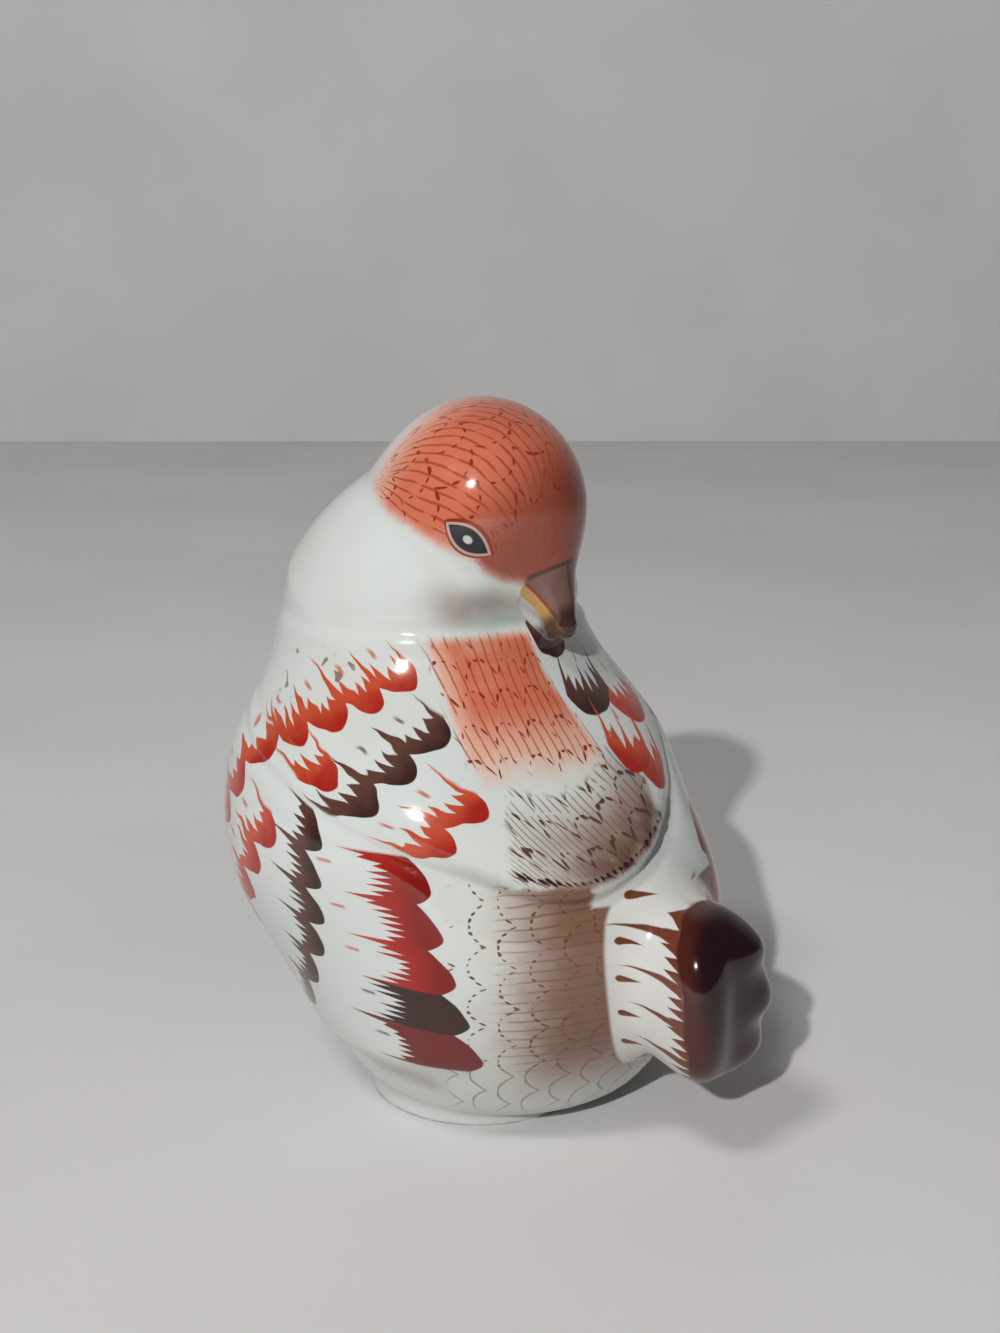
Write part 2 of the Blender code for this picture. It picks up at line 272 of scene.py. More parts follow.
# The tail's drops at the root, its long spikes and short strokes, and where the dark end begins
TAIL_ROOT = 2.4 * MM
TAIL_ROOT_LEAN = 0.2
TAIL_ROOT_BEND = 0.012
TAIL_DARK_AT = 7.2 * MM
TAIL_DARK_LEAN = 0.37
TAIL_DARK_BEND = 0.022
TAIL_DROP_AT = 1.7 * MM
TAIL_DROP = (0.5 * MM, 0.36 * MM)
TAIL_SPIKE_AT = -1.2 * MM
TAIL_SPIKE = (0.72 * MM, 0.55 * MM)
TAIL_HAIR = 1.3 * MM
# The short dark feathers of the wings
DARK_TURN = 1.24
DARK_BEND_AT = 32.0 * MM
DARK_BEND = 0.00096 / (MM * MM)
DARK_PITCH = 4.9 * MM
DARK_START = 3.7 * MM
DARK_STROKES = 5.0
DARK_SHAPE = (0.35, 2.4 * MM, 3.0 * MM, 2.8 * MM, 2.6 * MM)
DARK_LEAN = 0.4
DARK_ENDS = (13.5 * MM, 42.9 * MM)
# The long red feathers of the wings
LONG_TURN = 0.66
LONG_FOOT = 26.0 * MM
LONG_SLOPE = 0.0098 / MM
LONG_PITCH = 5.6 * MM
LONG_START = 0.3 * MM
LONG_STROKES = 7.0
LONG_TIP = (0.32, 2.4 * MM)
LONG_EDGE = (4.6 * MM, 4.2 * MM)
LONG_FLICK = (0.62, 12.0 * MM, 15.0 * MM)
LONG_ENDS = (11.5 * MM, 39.5 * MM)
LONG_BROWN = (17.1 * MM, 22.7 * MM)
# The small feathers: where the tip lies in each, notch between two, solid part, its edge and stroke length
SMALL_SHAPE = (0.45, 3.0 * MM, 3.3 * MM, 3.8 * MM, 2.9 * MM)
SMALL_FLICK = (0.55, 6.5 * MM, 9.0 * MM)
SMALL_STROKE = 2.0 * MM
LONG_LEAN = 0.06
TAIL_PITCH = 4.6 * MM
RED = (FEATHER_RED, FEATHER_ORANGE)
BROWN = (FEATHER_DARK, FEATHER_BROWN)
# Rows of small feathers: side, place and rise of the tips, first and last place, width, lean, two colours
SMALL_ROWS = (
    ("left", -62.5 * MM, 0.0, -10.5 * MM, 7.9 * MM, 4.6 * MM, 0.5, *RED),
    ("both", -62.4 * MM, 0.0, 7.9 * MM, 26.3 * MM, 4.6 * MM, 0.36, *RED),
    ("left", -54.8 * MM, 0.3, -13.5 * MM, 0.9 * MM, 4.8 * MM, 0.6, *BROWN),
    ("left", -56.0 * MM, 0.0, -0.3 * MM, 4.5 * MM, 4.8 * MM, 0.6, *RED),
    ("both", -53.2 * MM, 0.0, 9.3 * MM, 27.3 * MM, 4.5 * MM, 0.36, *RED),
    ("left", -44.9 * MM, 0.25, -14.3 * MM, -4.7 * MM, 4.8 * MM, 0.6, *RED),
    ("right", -57.4 * MM, -0.25, -26.0 * MM, -11.6 * MM, 14.4 * MM, 0.0, *BROWN),
    ("right", -56.6 * MM, -0.5, -5.5 * MM, 5.0 * MM, 10.5 * MM, 0.0, *RED),
    ("right", -52.9 * MM, -0.55, -15.5 * MM, -3.4 * MM, 12.1 * MM, 0.0, *BROWN),
    ("right", -48.8 * MM, -0.3, -6.5 * MM, 0.3 * MM, 6.8 * MM, 0.0, *RED),
    ("right", -49.1 * MM, -0.3, -10.0 * MM, -2.8 * MM, 7.2 * MM, 0.0, *RED),
)
CAPE_RADIUS = 25.0 * MM
CAPE_SLANT = 0.55
CAPE_MIDDLE = 0.2
WING_RADIUS = 30.0 * MM


def ellipsoid(p, at, radii):
    q = (p - np.array(at)) / np.array(radii)
    reach = np.linalg.norm(q, axis=-1)
    slope = np.linalg.norm(q / np.array(radii), axis=-1)
    return reach * (reach - 1) / np.maximum(slope, 1e-9)


def taper(p, a, b, ra, rb):
    a, b = np.array(a, float), np.array(b, float)
    axis = b - a
    t = np.clip((p - a) @ axis / (axis @ axis), 0, 1)
    return np.linalg.norm(p - a - t[..., None] * axis, axis=-1) - (ra + (rb - ra) * t)


def join(a, b, soft):
    h = np.maximum(soft - np.abs(a - b), 0) / soft
    return np.minimum(a, b) - h * h * soft / 4


def meet(a, b, soft):
    return -join(-a, -b, soft)


def ramp(x, lo, hi):
    t = np.clip((x - lo) / (hi - lo), 0, 1)
    return t * t * (3 - 2 * t)


def bump(x, half):
    return np.exp(-((x / half) ** 2))


def turned(p, at, turn, dip):
    """Points seen from at, with +y turned from +Y towards -X and then dipped."""
    q = p - np.array(at)
    x = q[..., 0] * np.cos(turn) + q[..., 1] * np.sin(turn)
    y = -q[..., 0] * np.sin(turn) + q[..., 1] * np.cos(turn)
    z = q[..., 2] * np.cos(dip) + y * np.sin(dip)
    y = y * np.cos(dip) - q[..., 2] * np.sin(dip)
    return np.stack([x, y, z], -1)


def bearing(p):
    """The angle around the upright axis: 0 at the tail side, positive towards the bird's left."""
    return np.arctan2(p[..., 0] - 1.0 * MM, p[..., 1] + 3.0 * MM)


def trunk(p):
    d = join(ellipsoid(p, BREAST_AT, BREAST_RADII), ellipsoid(p, BELLY_AT, BELLY_RADII), TRUNK_BLEND)
    return join(d, ellipsoid(p, RUMP_AT, RUMP_RADII), TRUNK_BLEND)


def neck(p):
    lower = taper(p, NECK_LOW, NECK_MID, NECK_RADII[0], NECK_RADII[1])
    upper = taper(p, NECK_MID, NECK_TOP, NECK_RADII[1], NECK_RADII[2])
    return join(lower, upper, TRUNK_BLEND)


def beak(q):
    upper = taper(q, BEAK_ROOT, BEAK_TIP, BEAK_RADII[0], BEAK_RADII[1])
    jaw = q[..., 2] + JAW_SLOPE * q[..., 1] - JAW_LOW
    mouth = bump(jaw - 0.9 * MM, MOUTH_HALF) * ramp(q[..., 1], 9 * MM, 12 * MM)
    return meet(upper + MOUTH_DEPTH * mouth, -jaw / math.hypot(1, JAW_SLOPE), BEAK_BLEND / 2)


def head(p):
    q = turned(p, HEAD_AT, HEAD_TURN, HEAD_DIP)
    return join(ellipsoid(q, (0, 0, 0), HEAD_RADII), beak(q), BEAK_BLEND)


def tail(p):
    q = turned(p, TAIL_AT, TAIL_TURN, TAIL_DROOP)
    x, y, z = q[..., 0], q[..., 1], q[..., 2]
    late = ramp(y, 0, TAIL_HALF)
    flute = np.cos(2 * np.pi * z / TAIL_LOBE)
    flare = 1 + 0.06 * late + 0.008 * late * flute
    section = (np.abs(x / TAIL_RADII[0]) ** 2.4 + np.abs(z / TAIL_RADII[1]) ** 2.4) ** (1 / 2.4)
    side = (section - flare) * TAIL_RADII[0]
    far = ramp(-x, -2 * MM, 5 * MM)
    hollow = TAIL_HOLLOW * bump(x - 1.5 * MM, 2.6 * MM)
    end = TAIL_HALF - TAIL_LEAN * z - TAIL_ROUND * z * z + TAIL_FLUTE * flute * far - hollow
    return meet(side, np.abs(y) - end, TAIL_EDGE)


def lip_height(p):
    turn = bearing(p) - LIP_MIDDLE
    climb = np.where(turn > 0, LIP_CLIMB, LIP_RIGHT_CLIMB)
    return LIP_LOW + climb * (np.sqrt(turn * turn + LIP_SOFT) - LIP_SOFT_LOW)


def shield(p):
    """How far the feathered cape of the back stands out, with its rolled lip and the crease at the neck."""
    above = p[..., 2] - lip_height(p)
    side = ramp(-np.abs(bearing(p)), -2.6, -1.5)
    below_neck = ramp(NECK_CREASE - p[..., 2], -1.0 * MM, 1.0 * MM)
    plate = ramp(above, -LIP_EDGE, LIP_EDGE) * below_neck
    rise = NECK_RISE + (LIP_RISE - NECK_RISE) * bump(above - 2 * MM, 8 * MM) * bump(bearing(p), 1.4)
    groove = LIP_GROOVE * bump(above + 1.7 * MM, LIP_GROOVE_HALF)
    crease = CREASE_DEPTH * bump(p[..., 2] - NECK_CREASE - 0.8 * MM, CREASE_HALF)
    return side * (rise * plate - groove - crease)


def wings(p):
    """How far the folded wings stand out below the cape."""
    turn = np.abs(bearing(p) - 0.05)
    rear = ramp(turn, 0.42, 0.80)
    front = ramp(-turn, -2.3, -1.7)
    edge = WING_LOW - WING_SAG * bump(turn - 1.3, 0.5)
    low = ramp(p[..., 2] - edge, -WING_EDGE, WING_EDGE)
    top = ramp(lip_height(p) - p[..., 2], -1 * MM, 1 * MM)
    return WING_RISE * rear * front * low * top


def form(p):
    d = join(trunk(p), neck(p), NECK_BLEND)
    d = d - shield(p) - wings(p)
    d = meet(d, -ellipsoid(p, CHIN_AT, CHIN_RADII), CHIN_BLEND)
    d = join(d, head(p), HEAD_BLEND)
    d = join(d, tail(p), TAIL_BLEND)
    d = meet(d, BELLY_CLEAR - p[..., 2], BELLY_BLEND)
    pad = np.linalg.norm(p[..., :2] - np.array(PAD_AT[:2]), axis=-1) - PAD_RADIUS
    pad = meet(pad, np.abs(p[..., 2] - PAD_MIDDLE) - PAD_HALF, PAD_BLEND)
    d = join(d, pad, PAD_BLEND)
    return meet(d, -FOOT_BELOW - p[..., 2], FOOT_EDGE)


def cavity_form(p):
    """The casting's inside: the plain trunk, neck and head, a wall's thickness in."""
    skull = ellipsoid(turned(p, HEAD_AT, HEAD_TURN, HEAD_DIP), (0, 0, 0), HEAD_RADII)
    d = join(join(trunk(p), neck(p), NECK_BLEND), skull, HEAD_BLEND)
    return meet(d + WALL, FLOOR_WALL - p[..., 2], BELLY_BLEND)


def ball(at, radii):
    bpy.ops.mesh.primitive_ico_sphere_add(subdivisions=4, radius=1.0, location=at)
    bpy.context.object.scale = radii
    return bpy.context.object


def chain(a, b, ra, rb, count):
    """Balls in a row, growing or shrinking from one end to the other."""
    made = []
    for i in range(count):
        t = i / (count - 1)
        at = [a[k] + (b[k] - a[k]) * t for k in range(3)]
        made.append(ball(at, (ra + (rb - ra) * t,) * 3))
    return made


def out_of(q, at, turn, dip):
    """A point given in a turned and dipped frame, back in the bird's own."""
    y = q[1] * math.cos(dip) + q[2] * math.sin(dip)
    z = q[2] * math.cos(dip) - q[1] * math.sin(dip)
    return (
        at[0] + q[0] * math.cos(turn) - y * math.sin(turn),
        at[1] + q[0] * math.sin(turn) + y * math.cos(turn),
        at[2] + z,
    )


def trunk_lumps(shrink):
    lumps = []
    for at, radii in ((BREAST_AT, BREAST_RADII), (BELLY_AT, BELLY_RADII), (RUMP_AT, RUMP_RADII)):
        lumps.append(ball(at, [r - shrink for r in radii]))
    low, middle, top = [r - shrink for r in NECK_RADII]
    lumps += chain(NECK_LOW, NECK_MID, low, middle, 5)
    lumps += chain(NECK_MID, NECK_TOP, middle, top, 5)
    head_lump = ball(HEAD_AT, [r - shrink for r in HEAD_RADII])
    head_lump.rotation_euler = (-HEAD_DIP, 0.0, HEAD_TURN)
    return lumps + [head_lump]


def outer_lumps():
    root = out_of(BEAK_ROOT, HEAD_AT, HEAD_TURN, HEAD_DIP)
    tip = out_of(BEAK_TIP, HEAD_AT, HEAD_TURN, HEAD_DIP)
    lumps = trunk_lumps(0.0) + chain(root, tip, BEAK_RADII[0], 1.4 * BEAK_RADII[1], 12)
    start = out_of((0, -TAIL_HALF, 0), TAIL_AT, TAIL_TURN, TAIL_DROOP)
    stop = out_of((0, 0.55 * TAIL_HALF, 0), TAIL_AT, TAIL_TURN, TAIL_DROOP)
    for lump in chain(start, stop, TAIL_RADII[0], TAIL_RADII[0], 6):
        lump.scale[2] = TAIL_RADII[1]
        lumps.append(lump)
    pad_at = (PAD_AT[0], PAD_AT[1], 3 * MM)
    bpy.ops.mesh.primitive_cylinder_add(radius=PAD_RADIUS, depth=8 * MM, location=pad_at)
    return lumps + [bpy.context.object]


def fused(name, lumps, step):
    """One closed skin of even quads around overlapping lumps."""
    bpy.ops.object.select_all(action="DESELECT")
    for lump in lumps:
        lump.select_set(True)
    bpy.context.view_layer.objects.active = lumps[0]
    bpy.ops.object.join()
    skin = bpy.context.object
    bpy.ops.object.transform_apply(location=True, rotation=True, scale=True)
    skin.name = name
    remesh = skin.modifiers.new("Skin", "REMESH")
    remesh.mode = "VOXEL"
    remesh.voxel_size = step
    bpy.ops.object.modifier_apply(modifier=remesh.name)
    return skin


def slope_of(shape, p, reach):
    ahead = [shape(p + reach * axis) - shape(p - reach * axis) for axis in np.eye(3)]
    return np.stack(ahead, -1) / (2 * reach)


def drawn_onto(skin, shape, step, rounds):
    """Moves a skin's points onto the surface where the form is zero, evening them out on the way."""
    mesh = skin.data
    p = np.empty(len(mesh.vertices) * 3)
    mesh.vertices.foreach_get("co", p)
    p = p.reshape(-1, 3)
    ends = np.empty(len(mesh.edges) * 2, np.int64)
    mesh.edges.foreach_get("vertices", ends)
    a, b = ends.reshape(-1, 2).T
    count = np.bincount(a, minlength=len(p)) + np.bincount(b, minlength=len(p))
    for turn in range(rounds):
        if turn < rounds - 3:
            middle = np.stack(
                [np.bincount(a, p[b, k], len(p)) + np.bincount(b, p[a, k], len(p)) for k in range(3)], -1
            )
            p = p + 0.6 * (middle / count[:, None] - p)
        slope = slope_of(shape, p, 0.05 * MM)
        length = np.maximum(np.sum(slope * slope, -1), 0.2)
        move = -shape(p)[:, None] * slope / length[:, None]
        size = np.linalg.norm(move, axis=-1, keepdims=True)
        p = p + move * np.minimum(1, step / np.maximum(size, 1e-9))
    mesh.vertices.foreach_set("co", p.reshape(-1))
    mesh.update()


def cut(item, tool, label):
    modifier = item.modifiers.new(label, "BOOLEAN")
    modifier.operation = "DIFFERENCE"
    modifier.solver = "EXACT"
    modifier.object = tool


def floor_cutter():
    bpy.ops.mesh.primitive_cube_add(size=1.0, location=(0, 0, -10 * MM))
    slab = bpy.context.object
    slab.scale = (120 * MM, 120 * MM, 20 * MM)
    slab.name = "floor_cutter"
    return slab


def vent_cutter():
    bpy.ops.mesh.primitive_cylinder_add(
        vertices=24, radius=VENT_RADIUS, depth=20 * MM, location=(VENT_AT[0], VENT_AT[1], 0)
    )
    hole = bpy.context.object
    hole.name = "vent_cutter"
    return hole


class Value:
    """A number in the shader: sums, products and the functions below add the nodes of a formula."""

    tree = None

    def __init__(self, socket):
        self.socket = socket

    def __add__(self, other):
        return maths("ADD", self, other)

    def __radd__(self, other):
        return maths("ADD", other, self)

    def __sub__(self, other):
        return maths("SUBTRACT", self, other)

    def __rsub__(self, other):
        return maths("SUBTRACT", other, self)

    def __mul__(self, other):
        return maths("MULTIPLY", self, other)

    def __rmul__(self, other):
        return maths("MULTIPLY", other, self)

    def __truediv__(self, other):
        return maths("DIVIDE", self, other)

    def __rtruediv__(self, other):
        return maths("DIVIDE", other, self)

    def __neg__(self):
        return maths("MULTIPLY", self, -1.0)


def plug(value, socket):
    if isinstance(value, Value):
        Value.tree.links.new(value.socket, socket)
    else:
        socket.default_value = value


def maths(operation, *values):
    node = Value.tree.nodes.new("ShaderNodeMath")
    node.operation = operation
    for value, socket in zip(values, node.inputs):
        plug(value, socket)
    return Value(node.outputs[0])


def size_of(x):
    return maths("ABSOLUTE", x)


def root_of(x):
    return maths("SQRT", x)


def most(a, b):
    return maths("MAXIMUM", a, b)


def whole(x):
    return maths("FLOOR", x)


def part(x):
    return maths("FRACT", x)


def angle(y, x):
    return maths("ARCTAN2", y, x)


def fade(x, low, high):
    """0 below low, 1 above high and smooth between, whichever of the two is larger."""
    node = Value.tree.nodes.new("ShaderNodeMapRange")
    node.interpolation_type = "SMOOTHSTEP"
    node.clamp = False
    plug(x, node.inputs[0])
    plug(low, node.inputs[1])
    plug(high, node.inputs[2])
    return Value(node.outputs[0])


def between(x, low, high, soft):
    return fade(x, low - soft, low + soft) * fade(x, high + soft, high - soft)


def vector(x, y, z):
    node = Value.tree.nodes.new("ShaderNodeCombineXYZ")
    for value, socket in zip((x, y, z), node.inputs):
        plug(value, socket)
    return Value(node.outputs[0])


def noise(place, scale, detail=1.0):
    node = Value.tree.nodes.new("ShaderNodeTexNoise")
    Value.tree.links.new(place.socket, node.inputs["Vector"])
    node.inputs["Scale"].default_value = scale
    node.inputs["Detail"].default_value = detail
    return Value(node.outputs["Fac"])


def over(under, colour, amount):
    """A colour laid over what is already there, where and as thick as amount says."""
    node = Value.tree.nodes.new("ShaderNodeMix")
    node.data_type = "RGBA"
    plug(amount, node.inputs[0])
    plug(under if isinstance(under, Value) else (*under, 1.0), node.inputs[6])
    plug(colour if isinstance(colour, Value) else (*colour, 1.0), node.inputs[7])
    return Value(node.outputs[2])


def after(value, paint):
    """The same value, made to wait for the paint below it, which is meant to spare the shader's memory."""
    return value + paint * NUDGE


class Places:
    """Where a point of the surface lies: on the bird, round its upright axis, and along the cape's rows."""

    def __init__(self, below):
        here = Value.tree.nodes.new("ShaderNodeTexCoord")
        self.point = Value(here.outputs["Object"])
        apart = Value.tree.nodes.new("ShaderNodeSeparateXYZ")
        Value.tree.links.new(self.point.socket, apart.inputs[0])
        self.x, self.y, self.z = (after(Value(socket), below) for socket in apart.outputs)
        self.wobble = noise(self.point, WOBBLE_SCALE, 1.0) - 0.5
        self.cloud = noise(self.point, CLOUD_SCALE, 2.0)
        self.patch = noise(self.point, PATCH_SCALE, 1.0)
        self.turn = angle(self.x - 1.0 * MM, self.y + 3.0 * MM)
        self.left = fade(self.turn, CAPE_MIDDLE - 0.02, CAPE_MIDDLE + 0.02)
        mirrored = (size_of(self.turn - CAPE_MIDDLE) + CAPE_MIDDLE) * CAPE_RADIUS
        self.row = mirrored * math.cos(CAPE_SLANT) - self.z * math.sin(CAPE_SLANT)
        fall = -(mirrored * math.sin(CAPE_SLANT) + self.z * math.cos(CAPE_SLANT))
        self.fall = fall - most(self.row - ROW_BEND_AT, 0.0) * ROW_BEND + self.wobble * FALL_WOBBLE
        self.row = self.row + self.wobble * ROW_WOBBLE
        self.fan = (self.turn - FAN_MIDDLE) / ((self.z - FAN_FOOT) * FAN_SPREAD + 1.0)
        self.lip = self.z - self.lip_height()

    def lip_height(self):
        turn = self.turn - LIP_MIDDLE
        rear = fade(turn, -0.1, 0.1)
        climb = rear * (LIP_CLIMB - LIP_RIGHT_CLIMB) + LIP_RIGHT_CLIMB
        return climb * (root_of(turn * turn + LIP_SOFT) - LIP_SOFT_LOW) + LIP_LOW

    def turned(self, at, turn, dip):
        x = self.x - at[0]
        y = self.y - at[1]
        z = self.z - at[2]
        across = x * math.cos(turn) + y * math.sin(turn)
        ahead = y * math.cos(turn) - x * math.sin(turn)
        return across, ahead * math.cos(dip) - z * math.sin(dip), z * math.cos(dip) + ahead * math.sin(dip)


def feathers(row, depth, pitch, start, strokes, tip, notch, solid, edge, reach, lean, seed):
    """A row of feathers: scalloped ends at depth 0, and torn brush strokes running back from them."""
    unit = (row - start - depth * lean) / pitch
    cell = part(unit)
    side = most((tip - cell) / tip, (cell - tip) / (1.0 - tip))
    square = side * side
    ends = fade(depth - square * notch, -0.1 * MM, 0.1 * MM)
    hair = unit * strokes + 0.5
    length = noise(vector(whole(hair) * HAIR_STEP, seed, 0.0), HAIR_SCALE)
    ridge = size_of(part(hair) * 2.0 - 1.0)
    gone = (depth - square * square * edge - solid) / (length * length * (2.6 * reach) + 0.3 * MM)
    return ends * fade(1.0 - ridge - gone, -0.06, 0.16)


def flicks(row, depth, pitch, start, place, near, far, lean):
    """One thin loose brush mark behind each feather."""
    cell = part((row - start - depth * lean) / pitch)
    line = fade(size_of(cell - place) * pitch, 0.3 * MM, 0.12 * MM)
    return line * fade(depth, near, near + 0.8 * MM) * fade(depth, far, far - 1.2 * MM)


def hatch(across, patch, period, width, amount):
    """Fine brush lines a period apart, which thin out here and there."""
    line = size_of(part(across / period) - 0.5) * period
    thinned = line + fade(patch, 0.5, 0.3) * 0.7 * width
    return fade(thinned, width, 0.3 * width) * amount


def scales(row, fall, wide, tall):
    """Distance from the nearest scalloped arc of a pattern of overlapping scales."""
    step = fall / tall
    shift = part(whole(step) * 0.5)
    side = part(row / wide + shift) * 2.0 - 1.0
    return size_of(part(step) - 1.0 + side * side * 0.6) * tall


def dots(arc, along, patch, pitch, radius):
    """Small round dots a pitch apart along a line, of uneven size."""
    beside = (part(along / pitch) - 0.5) * pitch
    away = root_of(arc * arc + beside * beside)
    return fade(away, radius * (patch * 2.2 - 0.1), radius * (patch * 2.2 - 0.45))


def cheek_shade_and_reflection(paint, at):
    """Painted shade, grey-brown, under the cap and at the throat, partly the mauve paint there and partly
    shade under the head, with a painted teal reflection by the beak.
    """
    x, y, z = at.turned(HEAD_AT, HEAD_TURN, HEAD_DIP)
    throat = fade(at.z, *THROAT_FADE)
    low = between(y, *CHEEK_AHEAD) * between(z, *CHEEK_HIGH) * throat
    # painted shade under the head, partly grey-mauve paint
    paint = over(paint, SHADE_GREY, low * fade(at.cloud, 0.1, 0.6) * 0.85)
    # a painted reflection, teal, on the glaze by the beak
    near = between(y, *REFLECTION_AHEAD) * between(z, *REFLECTION_HIGH) * throat
    return over(paint, TEAL_REFLECTION, near * 0.6)


def neck_flecks(paint, at):
    """A few loose brown flecks low on the neck, above the cape's left edge."""
    patch = between(at.turn, *FLECK_TURN) * between(at.z, *FLECK_HIGH)
    flecks = fade(noise(at.point, FLECK_SCALE, 0.0), 0.69, 0.73)
    return over(paint, RUMP_DOT, flecks * patch * 0.8)


def mantle_paint(paint, at):
    """The salmon back between the neck's crease and the cape's brown end."""
    right = (at.z - MANTLE_RIGHT_AT) * MANTLE_RIGHT_SLOPE
    inside = fade(MANTLE_LEFT - at.fan, -0.02, 0.02) * fade(at.fan - right, -0.03, 0.03)
    ragged = at.z + at.patch * 2.5 * MM
    wash = inside * fade(ragged, *MANTLE_FOOT) * fade(at.z, *MANTLE_TOP)
    paint = over(paint, SALMON_PALE, wash * 0.9)
    rich = wash * fade(at.z, *MANTLE_RICH) * fade(MANTLE_LEFT - at.fan, 0.0, 0.12)
    paint = over(paint, SALMON, rich * fade(at.cloud, 0.05, 0.5))
    across = at.fan * CAPE_RADIUS - at.z * 0.14 + at.wobble * 0.5 * MM
    reach = fade(MANTLE_LEFT + 0.02 - at.fan, -0.02, 0.02) * fade(at.fan - right, -0.04, 0.0)
    lines = hatch(across, at.patch, *MANTLE_HATCH)
    paint = over(paint, HATCH_RED, lines * reach * between(ragged, *MANTLE_LINES_HIGH))
    arc = scales(across, at.z, *MANTLE_SCALES)
    spots = dots(arc, across, at.patch, *MANTLE_DOTS)
    return over(paint, DOT_RED, spots * reach * between(ragged, *MANTLE_DOTS_HIGH))


def cape_end_paint(paint, at):
    """The cape's brown end: a mauve wash, close hatching and dotted scale edges."""
    reach = between(at.turn + at.wobble * 0.12, *CAPE_END_TURN) * between(at.lip, *CAPE_END_HIGH)
    wash = reach * fade(at.turn, *CAPE_WASH_TURN) * fade(at.lip, *CAPE_WASH_HIGH)
    paint = over(paint, MAUVE, wash * (fade(at.cloud, 0.2, 0.7) * 0.4 + 0.6))
    low = wash * fade(at.lip, *CAPE_LOW_HIGH) * fade(at.turn, *CAPE_LOW_TURN)
    paint = over(paint, FEATHER_BROWN, low * fade(at.patch, 0.3, 0.6) * 0.9)
    across = at.fan * CAPE_RADIUS - at.lip * 0.45 + at.wobble * 0.7 * MM
    lines = hatch(across, at.patch * 0.6 + 0.25, *CAPE_HATCH)
    gaps = fade(part(at.lip / CAPE_GAP + at.cloud * 1.5), 0.04, 0.12)
    paint = over(paint, CAPE_LINE, lines * reach * gaps)
    arc = scales(across, at.lip + 1.2 * MM, *CAPE_SCALES)
    spots = dots(arc, across, at.patch, *CAPE_DOTS)
    paint = over(paint, FEATHER_BROWN, spots * reach)
    band = dots(size_of(at.lip - CAPE_BAND_AT), across, at.patch, *CAPE_BAND)
    return over(paint, FEATHER_DARK, band * reach)


def rump_paint(paint, at):
    """A brown wash beside the tail's root, with scalloped rows of dots and nearly level hatching."""
    away = size_of(at.turn - RUMP_MIDDLE)
    edge = at.patch * 2.0 * MM
    above = fade(away, 0.36, 0.4) * fade(at.z + edge, 38.0 * MM, 37.0 * MM)
    height = most(fade(at.z, 33.5 * MM, 33.0 * MM), above) * fade(at.z, 2.0 * MM, 8.0 * MM)
    near = fade(away + at.cloud * 0.24, *RUMP_NEAR_TURN)
    wash = near * height * fade(at.z, *RUMP_WASH_HIGH)
    paint = over(paint, RUMP_TAN, wash * 0.85)
    dark = fade(away + at.patch * 0.16, *RUMP_DARK_TURN) * height * fade(at.z, *RUMP_DARK_HIGH)
    paint = over(paint, RUMP_BROWN, dark * 0.85)
    level = at.z + away * 2.6 * MM + at.wobble * 0.5 * MM
    lines = hatch(level, at.patch, *RUMP_HATCH)
    reach = fade(away + at.patch * 0.12, 0.88, 0.8) * height
    paint = over(paint, RUMP_LINE, lines * reach * fade(at.z, 9.0 * MM, 16.0 * MM) * (near * 0.5 + 0.35))
    side = away * RUMP_RADIUS + at.wobble * 0.8 * MM
    arc = scales(at.z + 2.0 * MM, side, *RUMP_SCALES)
    inside = fade(away, 1.0, 0.96) * height
    spots = dots(arc, at.z, at.patch, *RUMP_DOTS)
    paint = over(paint, RUMP_DOT, spots * inside * fade(at.z, 10.0 * MM, 14.0 * MM))
    faint = fade(arc, 0.3 * MM, 0.1 * MM) * fade(at.z, 16.0 * MM, 11.0 * MM) * fade(at.z, 3.0 * MM, 6.0 * MM)
    return over(paint, RUMP_LINE, faint * fade(away, 1.05, 0.98) * 0.6)


def tail_paint(paint, at):
    """Teardrops at the tail's root, brush strokes of many lengths along it, and a dark end."""
    x, y, z = at.turned(TAIL_AT, TAIL_TURN, TAIL_DROOP)
    bend = z * z / MM
    from_root = y + z * TAIL_ROOT_LEAN + bend * TAIL_ROOT_BEND + TAIL_ROOT
    behind = TAIL_DARK_AT - z * TAIL_DARK_LEAN - bend * TAIL_DARK_BEND - y
    on_tail = fade(from_root, -0.2 * MM, 0.2 * MM) * fade(at.y, 23.5 * MM, 25.5 * MM)
    on_tail = on_tail * between(z, -13.0 * MM, 12.5 * MM, 0.5 * MM) * fade(size_of(x), 12.5 * MM, 12.0 * MM)
    paint = over(paint, TAIL_WHITE, on_tail)
    tall = z + at.wobble * 0.6 * MM
    beside = size_of(part((tall - TAIL_DROP_AT) / TAIL_PITCH + 0.5) - 0.5) * TAIL_PITCH
    start = from_root - 1.1 * MM
    back = most(-start, 0.0)
    ball = root_of(beside * beside + back * back) + most(start, 0.0) * 0.2
    paint = over(paint, TAIL_STROKE, fade(ball, *TAIL_DROP) * on_tail)
    beside = size_of(part((tall - TAIL_SPIKE_AT) / TAIL_PITCH + 0.5) - 0.5) * TAIL_PITCH
    long = fade(beside + behind * 0.08, *TAIL_SPIKE)
    hair = tall / TAIL_HAIR
    length = noise(vector(whole(hair) * HAIR_STEP, TAIL_SEED, 0.0), HAIR_SCALE)
    ridge = size_of(part(hair) * 2.0 - 1.0)
    short = fade(1.0 - ridge - behind / (length * 3.2 * MM + 0.9 * MM), -0.05, 0.15)
    strokes = most(short, long) * fade(behind, -1.0 * MM, 0.0) * fade(z, 11.0 * MM, 10.0 * MM)
    paint = over(paint, TAIL_STROKE, strokes * on_tail)
    end = fade(behind + at.wobble * 0.9 * MM, 0.3 * MM, -0.3 * MM) * on_tail
    paint = over(paint, TAIL_MAROON, end)
    return over(paint, TAIL_BLACK, end * fade(behind + at.cloud * 2.0 * MM, 0.0, -2.6 * MM))


